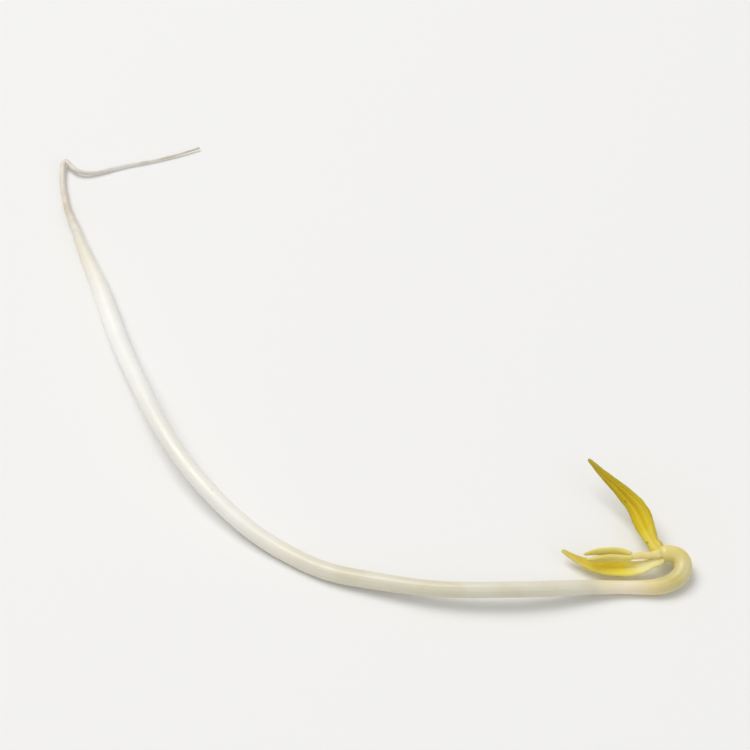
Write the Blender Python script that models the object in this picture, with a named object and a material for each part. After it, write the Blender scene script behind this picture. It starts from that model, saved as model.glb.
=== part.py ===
"""A mung bean sprout, as picked, lying on a flat surface.

The row frame is +Z up, with the surface at Z = 0 and the origin at the middle of the sprout's footprint.
Seven pieces: the white stem (hypocotyl), the thread-like taproot, two fleshy yellow seed leaves
(cotyledons), and between them a short shoot (epicotyl) with its first two folded leaves.
"""

import math

import bmesh
import bpy
import numpy as np
from mathutils import Vector

MM = 0.001

# All coordinates below are in mm, with the surface at z = 0. This place among them becomes the row's
# origin: it is the middle of the footprint.
ORIGIN = Vector((-0.19, 0.45, 0.0))

# The axis of root and stem: x, y, z and radius, from the tip of the root to the seed leaves.
ROOT_AXIS = (
    (-18.6, 33.4, 0.35, 0.11),
    (-21.4, 32.2, 0.30, 0.14),
    (-24.4, 31.2, 0.30, 0.16),
    (-28.2, 30.1, 0.35, 0.19),
    (-31.7, 29.0, 0.50, 0.25),
    (-33.2, 29.4, 0.70, 0.29),
    (-34.4, 30.7, 0.75, 0.31),
    (-34.6, 28.4, 0.60, 0.33),
    (-34.2, 25.9, 0.50, 0.35),
    (-33.6, 23.4, 0.55, 0.40),
    (-32.5, 20.3, 0.65, 0.52),
)
COLLAR = (-31.7, 18.0, 0.70, 0.62)
STEM_AXIS = (
    (-29.4, 12.1, 0.80, 0.92),
    (-27.6, 7.0, 0.95, 1.07),
    (-25.8, 1.7, 1.30, 1.05),
    (-23.6, -3.9, 2.00, 1.01),
    (-21.4, -9.2, 2.60, 0.98),
    (-18.9, -14.0, 2.80, 0.95),
    (-16.1, -18.1, 2.50, 0.94),
    (-13.1, -21.4, 1.85, 0.93),
    (-9.9, -24.2, 1.20, 0.92),
    (-6.3, -26.6, 0.84, 0.93),
    (-2.5, -28.6, 0.85, 0.95),
    (1.5, -29.8, 1.10, 0.94),
    (5.4, -30.8, 1.50, 0.89),
    (9.3, -31.5, 1.85, 0.86),
    (13.3, -31.7, 2.05, 0.87),
    (17.2, -31.6, 2.00, 0.87),
    (21.1, -31.2, 1.60, 0.85),
    (25.0, -30.7, 1.05, 0.76),
    (27.5, -30.5, 0.74, 0.72),
    (29.6, -30.5, 0.72, 0.78),
    (31.4, -30.4, 0.80, 0.89),
    (32.9, -29.7, 0.95, 0.97),
    (33.7, -28.5, 1.20, 0.99),
    (33.4, -27.4, 1.50, 0.95),
    (32.4, -27.0, 1.72, 0.90),
    (31.2, -27.2, 1.85, 0.84),
)

# The shoot between the seed leaves, from inside the node outwards.
SHOOT_AXIS = (
    (31.9, -27.1, 1.75, 0.38),
    (30.5, -27.4, 2.00, 0.42),
    (29.3, -27.6, 2.20, 0.38),
    (28.2, -27.8, 2.35, 0.34),
)


class Blade:
    """A long fleshy leaf: its midrib as x, y, z and half width, and the way its upper face looks."""

    def __init__(self, midrib, face, twist, outer, inner):
        self.midrib = midrib
        self.face = Vector(face).normalized()
        self.twist = math.radians(twist)
        self.outer = outer  # how far the rounded side bulges, as a share of the half width
        self.inner = inner  # the same for the flatter side


UPPER_COTYLEDON = Blade(
    midrib=(
        (31.6, -26.9, 1.85, 0.38),
        (30.8, -26.0, 2.05, 0.62),
        (30.3, -24.8, 2.30, 0.93),
        (29.9, -23.6, 2.50, 1.12),
        (29.4, -22.2, 2.75, 1.10),
        (28.5, -20.9, 3.00, 0.92),
        (27.4, -19.6, 3.20, 0.72),
        (26.1, -18.1, 3.35, 0.50),
        (24.6, -16.1, 3.45, 0.16),
    ),
    face=(-0.25, -0.55, 0.80),
    twist=25.0,
    outer=0.62,
    inner=0.30,
)
LOWER_COTYLEDON = Blade(
    midrib=(
        (31.7, -27.5, 1.72, 0.38),
        (30.6, -28.0, 1.50, 0.50),
        (29.6, -28.4, 1.35, 0.74),
        (28.4, -28.5, 1.25, 0.93),
        (26.9, -28.4, 1.15, 0.98),
        (25.3, -28.2, 1.10, 0.88),
        (23.8, -27.7, 1.15, 0.66),
        (22.6, -27.1, 1.25, 0.43),
        (21.4, -26.3, 1.40, 0.15),
    ),
    face=(0.10, -0.20, 0.97),
    twist=-20.0,
    outer=0.56,
    inner=0.30,
)
LEFT_LEAF = Blade(
    midrib=(
        (28.5, -28.0, 2.38, 0.22),
        (27.3, -28.1, 2.50, 0.39),
        (26.1, -28.1, 2.55, 0.43),
        (24.9, -28.2, 2.50, 0.34),
        (23.8, -28.3, 2.45, 0.13),
    ),
    face=(0.0, -0.90, 0.42),
    twist=15.0,
    outer=0.60,
    inner=0.55,
)
RIGHT_LEAF = Blade(
    midrib=(
        (28.5, -27.6, 2.42, 0.22),
        (27.3, -27.3, 2.55, 0.39),
        (26.1, -27.3, 2.60, 0.44),
        (24.8, -27.4, 2.60, 0.35),
        (23.5, -27.7, 2.55, 0.13),
    ),
    face=(0.0, -0.85, 0.52),
    twist=-15.0,
    outer=0.60,
    inner=0.55,
)

GAP = 0.08  # mm of air between pieces that grow from each other
THINNEST = 0.30  # mm, the least half thickness of a blade, except where its ends narrow
STEM_SIDES = 12
ROOT_SIDES = 8
BLADE_SIDES = 12
STEM_STEP = 1.0  # mm between the rings of each piece
ROOT_STEP = 0.5
SHOOT_STEP = 0.4
BLADE_STEP = 0.7
ROOT_TIP = 0.15  # mm over which each end is rounded off
STEM_END = 0.70
SHOOT_END = 0.30
BLADE_BASE = 0.30
BLADE_TIP = 0.25
END_STEPS = 5  # rings that round off an end
CAP_SHARE = 0.3  # radius of the last ring there, as a share of the full one
NEAR = 0.01  # mm either side of a place, to find which way a path runs there

FINISHES = {
    "hypocotyl": ((0.90, 0.88, 0.80), 0.30),
    "taproot": ((0.66, 0.58, 0.45), 0.50),
    "cotyledon_upper": ((0.78, 0.58, 0.06), 0.38),
    "cotyledon_lower": ((0.80, 0.64, 0.07), 0.38),
    "epicotyl": ((0.86, 0.84, 0.58), 0.35),
    "first_leaf_left": ((0.80, 0.80, 0.36), 0.45),
    "first_leaf_right": ((0.76, 0.78, 0.30), 0.45),
}


class Path:
    """A smooth curve through control points; the radius runs straight from point to point."""

    def __init__(self, points):
        points = np.array(points)
        knots = np.linalg.norm(np.diff(points[:, :3], axis=0), axis=1)
        self.knots = np.concatenate(([0.0], np.cumsum(knots)))
        self.points = points
        self.bends = self.second_derivatives()

    def second_derivatives(self):
        """The bends that make a natural cubic spline of the points."""
        gaps = np.diff(self.knots)
        slopes = np.diff(self.points[:, :3], axis=0) / gaps[:, None]
        matrix = np.eye(len(self.knots))
        right = np.zeros((len(self.knots), 3))
        for i in range(1, len(self.knots) - 1):
            matrix[i, i - 1 : i + 2] = gaps[i - 1], 2 * (gaps[i - 1] + gaps[i]), gaps[i]
            right[i] = 6 * (slopes[i] - slopes[i - 1])
        return np.linalg.solve(matrix, right)

    @property
    def length(self):
        """Length in mm, measured straight from point to point."""
        return self.knots[-1]

    def at(self, along):
        """The point on the curve at a distance along its control points."""
        i = int(np.clip(np.searchsorted(self.knots, along) - 1, 0, len(self.knots) - 2))
        gap = self.knots[i + 1] - self.knots[i]
        left = self.knots[i + 1] - along
        right = along - self.knots[i]
        start, end = self.points[i, :3], self.points[i + 1, :3]
        bend, next_bend = self.bends[i], self.bends[i + 1]
        return Vector(
            (bend * left**3 + next_bend * right**3) / (6 * gap)
            + (start / gap - bend * gap / 6) * left
            + (end / gap - next_bend * gap / 6) * right
        )

    def heading(self, along):
        """The way the curve runs there, as a unit vector."""
        return (self.at(along + NEAR) - self.at(along - NEAR)).normalized()

    def radius(self, along):
        """The radius or half width in mm there."""
        return float(np.interp(along, self.knots, self.points[:, 3]))


def ring_places(start, end, step, round_start=0.0, round_end=0.0):
    """Distances along a path for its rings, with the share of full radius each has.

    A rounded end is a quarter circle, round_start or round_end mm long, that closes in on the axis.
    """
    first = math.asin(CAP_SHARE)
    angles = [first + (math.pi / 2 - first) * k / END_STEPS for k in range(END_STEPS)]
    closing = [(1 - math.cos(a), math.sin(a)) for a in angles]
    full_start = start + round_start
    full_end = end - round_end
    rings = round((full_end - full_start) / step) + 1
    places = [(float(m), 1.0) for m in np.linspace(full_start, full_end, rings)]
    if round_start:
        places = [(start + round_start * c, share) for c, share in closing] + places
    if round_end:
        places += [(end - round_end * c, share) for c, share in reversed(closing)]
    return places


def loft(name, rings):
    """A closed solid through rings of points in mm, each with the same number of points."""
    mesh = bmesh.new()
    loops = [[mesh.verts.new((point - ORIGIN) * MM) for point in ring] for ring in rings]
    for loop, following in zip(loops, loops[1:]):
        for k in range(len(loop)):
            after = (k + 1) % len(loop)
            mesh.faces.new((loop[k], loop[after], following[after], following[k]))
    mesh.faces.new(reversed(loops[0]))
    mesh.faces.new(loops[-1])
    bmesh.ops.recalc_face_normals(mesh, faces=mesh.faces)
    data = bpy.data.meshes.new(name)
    mesh.to_mesh(data)
    mesh.free()
    data.shade_smooth()
    solid = bpy.data.objects.new(name, data)
    bpy.context.scene.collection.objects.link(solid)
    return solid


def stalk(name, path, places, sides, swell=0.0):
    """A round stalk along a path, with a flat side facing down.

    swell makes it that many mm fatter all round, and as much longer past a rounded end.
    """
    rings = []
    for along, share in places:
        heading = path.heading(along)
        across = heading.cross(Vector((0, 0, 1))).normalized()
        upward = across.cross(heading)
        radius = path.radius(along) * share + swell
        turns = [2 * math.pi * (k + 0.5) / sides + math.pi / 2 for k in range(sides)]
        longer = swell * math.sqrt(1 - share**2)
        centre = path.at(along) + heading * longer
        rings.append([centre + (across * math.cos(t) + upward * math.sin(t)) * radius for t in turns])
    return loft(name, rings)


def blade(name, leaf):
    """A fleshy leaf: round outside, flatter inside, pointed at its tip and slowly twisting."""
    path = Path(leaf.midrib)
    places = ring_places(0.0, path.length, BLADE_STEP, BLADE_BASE, BLADE_TIP)
    rings = []
    for along, share in places:
        heading = path.heading(along)
        across = heading.cross(leaf.face).normalized()
        outward = across.cross(heading)
        turn = leaf.twist * along / path.length
        across, outward = (
            across * math.cos(turn) + outward * math.sin(turn),
            outward * math.cos(turn) - across * math.sin(turn),
        )
        half = path.radius(along) * share
        ring = []
        for k in range(BLADE_SIDES):
            t = 2 * math.pi * k / BLADE_SIDES
            bulge = leaf.inner if math.sin(t) > 0 else leaf.outer
            thick = max(bulge * half, min(half, THINNEST))
            ring.append(path.at(along) + across * (half * math.cos(t)) + outward * (thick * math.sin(t)))
        rings.append(ring)
    return loft(name, rings)


def flatten_underside(solid):
    """Cuts off what would press into the surface, which leaves small flat spots to rest on."""
    mesh = bmesh.new()
    mesh.from_mesh(solid.data)
    everything = mesh.verts[:] + mesh.edges[:] + mesh.faces[:]
    cut = bmesh.ops.bisect_plane(
        mesh, geom=everything, plane_co=(0, 0, 0), plane_no=(0, 0, 1), clear_inner=True
    )
    rim = [part for part in cut["geom_cut"] if isinstance(part, bmesh.types.BMEdge)]
    bmesh.ops.holes_fill(mesh, edges=rim)
    bmesh.ops.recalc_face_normals(mesh, faces=mesh.faces)
    mesh.to_mesh(solid.data)
    mesh.free()


def seat_on(solid, neighbour):
    """Shapes the base of a piece to the neighbour that it grows from, which is a slightly fatter copy."""
    neighbour.hide_render = True
    neighbour.display_type = "WIRE"
    cut = solid.modifiers.new("Seat", "BOOLEAN")
    cut.operation = "DIFFERENCE"
    cut.solver = "EXACT"
    cut.object = neighbour


def give_material(solid):
    """Gives the piece its own material, in its colour and gloss."""
    colour, roughness = FINISHES[solid.name]
    material = bpy.data.materials.new(solid.name)
    material.use_nodes = True
    shader = material.node_tree.nodes["Principled BSDF"]
    shader.inputs["Base Color"].default_value = (*colour, 1.0)
    shader.inputs["Roughness"].default_value = roughness
    shader.inputs["Metallic"].default_value = 0.0
    solid.data.materials.append(material)


def build():
    """Clears the scene and makes the seven pieces."""
    for old in list(bpy.data.objects):
        bpy.data.objects.remove(old)

    axis = Path(ROOT_AXIS + (COLLAR,) + STEM_AXIS)
    collar = axis.knots[len(ROOT_AXIS)]
    root_places = ring_places(0.0, collar - GAP, ROOT_STEP, round_start=ROOT_TIP)
    stem_places = ring_places(collar, axis.length, STEM_STEP, round_end=STEM_END)
    taproot = stalk("taproot", axis, root_places, ROOT_SIDES)
    hypocotyl = stalk("hypocotyl", axis, stem_places, STEM_SIDES)
    flatten_underside(hypocotyl)

    shoot = Path(SHOOT_AXIS)
    shoot_places = ring_places(0.0, shoot.length, SHOOT_STEP, round_end=SHOOT_END)
    epicotyl = stalk("epicotyl", shoot, shoot_places, STEM_SIDES)
    round_stem = stalk("room_for_stem", axis, stem_places, STEM_SIDES, swell=GAP)
    round_shoot = stalk("room_for_shoot", shoot, shoot_places, STEM_SIDES, swell=GAP)

    upper = blade("cotyledon_upper", UPPER_COTYLEDON)
    lower = blade("cotyledon_lower", LOWER_COTYLEDON)
    leaves = [blade("first_leaf_left", LEFT_LEAF), blade("first_leaf_right", RIGHT_LEAF)]
    for piece in (epicotyl, upper, lower):
        seat_on(piece, round_stem)
    for piece in (upper, lower, *leaves):
        seat_on(piece, round_shoot)

    for piece in (hypocotyl, taproot, epicotyl, upper, lower, *leaves):
        give_material(piece)


build()
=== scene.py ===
"""Looks of a mung bean sprout lying on a pale surface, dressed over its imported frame.

Every length in the tables below is in mm in the sprout's own lying-out grid, with the surface at
z = 0, and each point is x, y, z and the radius there. Grid.place turns places into metres in the
frame.
"""

import logging
import math
from dataclasses import dataclass, fields
from enum import Enum

import bpy
import numpy as np
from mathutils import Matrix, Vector, noise

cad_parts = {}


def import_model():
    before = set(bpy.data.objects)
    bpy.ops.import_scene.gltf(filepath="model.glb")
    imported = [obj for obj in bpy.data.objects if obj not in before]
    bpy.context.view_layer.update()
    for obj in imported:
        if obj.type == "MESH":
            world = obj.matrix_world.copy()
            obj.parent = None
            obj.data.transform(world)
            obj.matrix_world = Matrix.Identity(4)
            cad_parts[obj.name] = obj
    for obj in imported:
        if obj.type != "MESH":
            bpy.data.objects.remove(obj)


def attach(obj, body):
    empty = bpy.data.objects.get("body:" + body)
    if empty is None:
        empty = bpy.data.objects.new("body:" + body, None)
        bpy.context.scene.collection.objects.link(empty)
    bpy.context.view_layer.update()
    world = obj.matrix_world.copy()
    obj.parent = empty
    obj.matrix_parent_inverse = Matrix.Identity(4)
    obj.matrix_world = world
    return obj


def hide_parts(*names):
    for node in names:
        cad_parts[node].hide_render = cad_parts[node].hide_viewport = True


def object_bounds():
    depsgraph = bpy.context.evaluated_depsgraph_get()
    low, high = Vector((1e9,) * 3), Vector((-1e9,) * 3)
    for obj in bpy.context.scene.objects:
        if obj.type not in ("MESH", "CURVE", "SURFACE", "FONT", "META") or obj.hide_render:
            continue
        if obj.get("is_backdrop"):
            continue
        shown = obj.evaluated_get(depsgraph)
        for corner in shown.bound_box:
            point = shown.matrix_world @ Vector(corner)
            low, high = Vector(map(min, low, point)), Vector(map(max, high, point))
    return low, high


LOG = logging.getLogger("sprout")
MM = 0.001

Place = tuple[float, float, float]
Colour = tuple[float, float, float]
Run = tuple[tuple[float, Colour], ...]  # colours from one end to the other, each with its share of the way
Axis = tuple[tuple[float, float, float, float], ...]
Socket = bpy.types.NodeSocket
Piece = bpy.types.Object


# ---- where things lie


GRID_MIDDLE = (-0.19, 0.45, 0.0)
ROOT_AXIS = (
    (-18.6, 33.4, 0.35, 0.11),
    (-21.4, 32.2, 0.30, 0.14),
    (-24.4, 31.2, 0.30, 0.16),
    (-28.2, 30.1, 0.35, 0.19),
    (-31.7, 29.0, 0.50, 0.25),
    (-33.2, 29.4, 0.70, 0.29),
    (-34.4, 30.7, 0.75, 0.31),
    (-34.6, 28.4, 0.60, 0.33),
    (-34.2, 25.9, 0.50, 0.35),
    (-33.6, 23.4, 0.55, 0.40),
    (-32.5, 20.3, 0.65, 0.52),
)
COLLAR = (-31.7, 18.0, 0.70, 0.62)
STEM_AXIS = (
    (-29.4, 12.1, 0.80, 0.92),
    (-27.6, 7.0, 0.95, 1.07),
    (-25.8, 1.7, 1.30, 1.05),
    (-23.6, -3.9, 2.00, 1.01),
    (-21.4, -9.2, 2.60, 0.98),
    (-18.9, -14.0, 2.80, 0.95),
    (-16.1, -18.1, 2.50, 0.94),
    (-13.1, -21.4, 1.85, 0.93),
    (-9.9, -24.2, 1.20, 0.92),
    (-6.3, -26.6, 0.84, 0.93),
    (-2.5, -28.6, 0.85, 0.95),
    (1.5, -29.8, 1.10, 0.94),
    (5.4, -30.8, 1.50, 0.89),
    (9.3, -31.5, 1.85, 0.86),
    (13.3, -31.7, 2.05, 0.87),
    (17.2, -31.6, 2.00, 0.87),
    (21.1, -31.2, 1.60, 0.85),
    (25.0, -30.7, 1.05, 0.76),
    (27.5, -30.5, 0.74, 0.72),
    (29.6, -30.5, 0.72, 0.78),
    (31.4, -30.4, 0.80, 0.89),
    (32.9, -29.7, 0.95, 0.97),
    (33.7, -28.5, 1.20, 0.99),
    (33.4, -27.4, 1.50, 0.95),
    (32.4, -27.0, 1.72, 0.90),
    (31.2, -27.2, 1.85, 0.84),
)
SHOOT_AXIS = (
    (31.9, -27.1, 1.75, 0.38),
    (30.5, -27.4, 2.00, 0.42),
    (29.3, -27.6, 2.20, 0.38),
    (28.2, -27.8, 2.35, 0.34),
)
UPPER_MIDRIB = (
    (31.6, -26.9, 1.85, 0.38),
    (30.8, -26.0, 2.05, 0.62),
    (30.3, -24.8, 2.30, 0.93),
    (29.9, -23.6, 2.50, 1.12),
    (29.4, -22.2, 2.75, 1.10),
    (28.5, -20.9, 3.00, 0.92),
    (27.4, -19.6, 3.20, 0.72),
    (26.1, -18.1, 3.35, 0.50),
    (24.6, -16.1, 3.45, 0.16),
)
LOWER_MIDRIB = (
    (31.7, -27.5, 1.72, 0.38),
    (30.6, -28.0, 1.50, 0.50),
    (29.6, -28.4, 1.35, 0.74),
    (28.4, -28.5, 1.25, 0.93),
    (26.9, -28.4, 1.15, 0.98),
    (25.3, -28.2, 1.10, 0.88),
    (23.8, -27.7, 1.15, 0.66),
    (22.6, -27.1, 1.25, 0.43),
    (21.4, -26.3, 1.40, 0.15),
)
LEFT_LEAF_MIDRIB = (
    (28.5, -28.0, 2.38, 0.22),
    (27.3, -28.1, 2.50, 0.39),
    (26.1, -28.1, 2.55, 0.43),
    (24.9, -28.2, 2.50, 0.34),
    (23.8, -28.3, 2.45, 0.13),
)
RIGHT_LEAF_MIDRIB = (
    (28.5, -27.6, 2.42, 0.22),
    (27.3, -27.3, 2.55, 0.39),
    (26.1, -27.3, 2.60, 0.44),
    (24.8, -27.4, 2.60, 0.35),
    (23.5, -27.7, 2.55, 0.13),
)


@dataclass(frozen=True)
class Grid:
    """The lying-out grid, and the frame's box that it keeps everything within."""

    middle: Place  # the place in the grid, in mm, that is the frame's origin
    low: Place  # lowest corner of the frame's box, in metres
    high: Place  # its highest corner

    def place(self, points: np.ndarray) -> np.ndarray:
        """Turns places in the grid into metres in the frame, kept within the frame's box."""
        moved = (np.asarray(points, float) - np.array(self.middle)) * MM
        return np.clip(moved, np.array(self.low), np.array(self.high))

    def inputs(self, material: bpy.types.Material) -> dict[str, object]:
        """What every geometry tree is told beside its own sizes."""
        return {"Low Corner": self.low, "High Corner": self.high, "Material": material}


class Path:
    """A smooth curve in mm through given points, each with a radius."""

    SAMPLES = 24  # places where the radius is worked out, for each point
    BELL_REACH = 3  # how far out the smoothing bell is followed, in its own widths
    NUDGE = 0.01  # mm to either side of a place, to find the heading there

    def __init__(self, points: Axis, soften: float = 0.6) -> None:
        """Fits the curve.

        Args:
            points: x, y, z and radius of each point.
            soften: mm over which changes of radius are smoothed.
        """
        self.points = np.array(points, float)
        steps = np.linalg.norm(np.diff(self.points[:, :3], axis=0), axis=1)
        self.knots = np.concatenate(([0.0], np.cumsum(steps)))
        self.bends = self._second_derivatives()
        self.places = np.linspace(0.0, self.knots[-1], self.SAMPLES * len(self.knots))
        straight = np.interp(self.places, self.knots, self.points[:, 3])
        self.radii = self._softened(straight, soften)

    def _second_derivatives(self) -> np.ndarray:
        """Solves for the bends that make a natural cubic spline.

        Returns:
            The second derivative at each point.
        """
        gaps = np.diff(self.knots)
        slopes = np.diff(self.points[:, :3], axis=0) / gaps[:, None]
        matrix = np.eye(len(self.knots))
        right = np.zeros((len(self.knots), 3))
        for i in range(1, len(self.knots) - 1):
            matrix[i, i - 1 : i + 2] = gaps[i - 1], 2 * (gaps[i - 1] + gaps[i]), gaps[i]
            right[i] = 6 * (slopes[i] - slopes[i - 1])
        return np.linalg.solve(matrix, right)

    def _softened(self, values: np.ndarray, soften: float) -> np.ndarray:
        """Smooths values along the curve by a bell.

        Args:
            values: a value at each of the curve's sampled places.
            soften: the bell's width in mm.

        Returns:
            The smoothed values.
        """
        spacing = self.places[1] - self.places[0]
        reach = max(1, round(self.BELL_REACH * soften / spacing))
        bell = np.exp(-0.5 * (np.arange(-reach, reach + 1) * spacing / soften) ** 2)
        padded = np.pad(values, reach, mode="edge")
        return np.convolve(padded, bell / bell.sum(), mode="valid")

    @property
    def length(self) -> float:
        """Length of the curve in mm, measured along its points."""
        return float(self.knots[-1])

    def at(self, along: float) -> np.ndarray:
        """Finds a place on the curve.

        Args:
            along: mm along it.

        Returns:
            The place in mm.
        """
        i = int(np.clip(np.searchsorted(self.knots, along) - 1, 0, len(self.knots) - 2))
        gap = self.knots[i + 1] - self.knots[i]
        left, right = self.knots[i + 1] - along, along - self.knots[i]
        start, end = self.points[i, :3], self.points[i + 1, :3]
        bend, next_bend = self.bends[i], self.bends[i + 1]
        return (
            (bend * left**3 + next_bend * right**3) / (6 * gap)
            + (start / gap - bend * gap / 6) * left
            + (end / gap - next_bend * gap / 6) * right
        )

    def heading(self, along: float) -> Vector:
        """The way the curve runs there, as a unit vector."""
        return Vector(self.at(along + self.NUDGE) - self.at(along - self.NUDGE)).normalized()

    def radius(self, along: float) -> float:
        """The softened radius in mm there."""
        return float(np.interp(along, self.places, self.radii))


# ---- node trees


class TreeKind(Enum):
    """What a node tree makes."""

    SHADER = "ShaderNodeTree"
    GEOMETRY = "GeometryNodeTree"


class SocketKind(Enum):
    """What goes through a socket."""

    NUMBER = "NodeSocketFloat"
    COUNT = "NodeSocketInt"
    VECTOR = "NodeSocketVector"
    MATERIAL = "NodeSocketMaterial"
    GEOMETRY = "NodeSocketGeometry"


class Graph:
    """Adds and joins the nodes of one tree, shader or geometry."""

    NOISE_MIDDLE = 0.5  # that a noise lies around

    def __init__(self, tree: bpy.types.NodeTree) -> None:
        """Takes the tree that the nodes go into."""
        self.tree = tree

    @property
    def given(self) -> bpy.types.bpy_prop_collection:
        """The values that the tree is given, by name."""
        return self.tree.nodes["in"].outputs

    def fill(self, node: bpy.types.Node, inputs: dict) -> None:
        """Sets or links inputs of a node.

        Args:
            node: the node.
            inputs: for each input, by name or number, a value, a socket, or a node whose first
                output it takes.
        """
        for key, value in inputs.items():
            if isinstance(value, bpy.types.Node):
                value = value.outputs[0]
            if isinstance(value, Socket):
                self.tree.links.new(value, node.inputs[key])
            else:
                node.inputs[key].default_value = value

    def add(self, kind: str, inputs: dict | None = None, **settings: object) -> bpy.types.Node:
        """Adds a node.

        Args:
            kind: the node's type name.
            inputs: what its inputs are, as fill takes them.
            settings: properties of the node itself.

        Returns:
            The new node.
        """
        node = self.tree.nodes.new(kind)
        for name, value in settings.items():
            setattr(node, name, value)
        self.fill(node, inputs or {})
        return node

    def put_out(self, results: dict) -> bpy.types.NodeTree:
        """Puts values out of the tree, by name, and hands the tree over."""
        self.fill(self.tree.nodes["out"], results)
        return self.tree

    def math(self, operation: str, *values: object, clamp: bool = False) -> Socket:
        """The result of one Math node on sockets or numbers."""
        node = self.add("ShaderNodeMath", dict(enumerate(values)), operation=operation, use_clamp=clamp)
        return node.outputs[0]

    def vector(self, operation: str, *values: object) -> Socket:
        """The vector that comes from one Vector Math node."""
        return self.add("ShaderNodeVectorMath", dict(enumerate(values)), operation=operation).outputs[0]

    def scaled(self, vector: object, amount: object) -> Socket:
        """A vector made longer or shorter."""
        return self.add("ShaderNodeVectorMath", {0: vector, "Scale": amount}, operation="SCALE").outputs[0]

    def join(self, x: object, y: object, z: object) -> Socket:
        """A vector from three values."""
        return self.add("ShaderNodeCombineXYZ", {0: x, 1: y, 2: z}).outputs[0]

    def cloud(self, place: object, scale: object, detail: float, roughness: float = 0.5) -> bpy.types.Node:
        """A Noise Texture, whose first output is its value."""
        inputs = {"Vector": place, "Scale": scale, "Detail": detail, "Roughness": roughness}
        return self.add("ShaderNodeTexNoise", inputs)

    def swing(self, cloud: bpy.types.Node, amount: object) -> Socket:
        """A noise swung to either side of zero."""
        return self.math("MULTIPLY", self.math("SUBTRACT", cloud, self.NOISE_MIDDLE), amount)

    def span(self, value: object, low: float, high: float, start: float = 0.0, end: float = 1.0) -> Socket:
        """A value mapped smoothly from low..high to start..end, and held beyond."""
        inputs = {"Value": value, "From Min": low, "From Max": high, "To Min": start, "To Max": end}
        return self.add("ShaderNodeMapRange", inputs, interpolation_type="SMOOTHSTEP").outputs[0]

    def mix(self, share: object, first: Socket, second: Colour) -> Socket:
        """A colour mixed by a share into another."""
        return self.add("ShaderNodeMix", {0: share, 6: first, 7: (*second, 1.0)}, data_type="RGBA").outputs[2]

    def named(self, name: str, kind: str = "FLOAT") -> Socket:
        """The value of a stored attribute."""
        node = self.add("GeometryNodeInputNamedAttribute", {"Name": name}, data_type=kind)
        return node.outputs["Attribute"]

    def store(self, geometry: object, name: str, value: object, kind: str = "FLOAT") -> bpy.types.Node:
        """Stores a value on the points of a geometry under a name."""
        inputs = {"Geometry": geometry, "Name": name, "Value": value}
        return self.add("GeometryNodeStoreNamedAttribute", inputs, data_type=kind, domain="POINT")


def new_tree(kind: TreeKind, name: str, inputs: dict, outputs: dict) -> Graph:
    """Starts a node tree with named sockets.

    Args:
        kind: what it makes.
        name: its name.
        inputs: the kind of each input, by name.
        outputs: the kind of each output, by name.

    Returns:
        A graph with the tree's input and output nodes in it, named "in" and "out".
    """
    tree = bpy.data.node_groups.new(name, kind.value)
    for way, sockets in (("INPUT", inputs), ("OUTPUT", outputs)):
        for label, socket_kind in sockets.items():
            tree.interface.new_socket(label, in_out=way, socket_type=socket_kind.value)
    graph = Graph(tree)
    graph.add("NodeGroupInput").name = "in"
    graph.add("NodeGroupOutput").name = "out"
    return graph


def ramp(graph: Graph, share: Socket, run: Run) -> Socket:
    """Adds a smooth run of colours.

    Args:
        graph: the tree to add it to.
        share: the value that picks the colour.
        run: the colours in order.

    Returns:
        The colour that is picked.
    """
    node = graph.add("ShaderNodeValToRGB", {"Fac": share})
    elements = node.color_ramp.elements
    while len(elements) < len(run):
        elements.new(0.5)
    for element, (place, _) in zip(elements, run):
        element.position = place
    for element, (_, colour) in zip(elements, run):
        element.color = (*colour, 1.0)
    return node.outputs[0]


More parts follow.
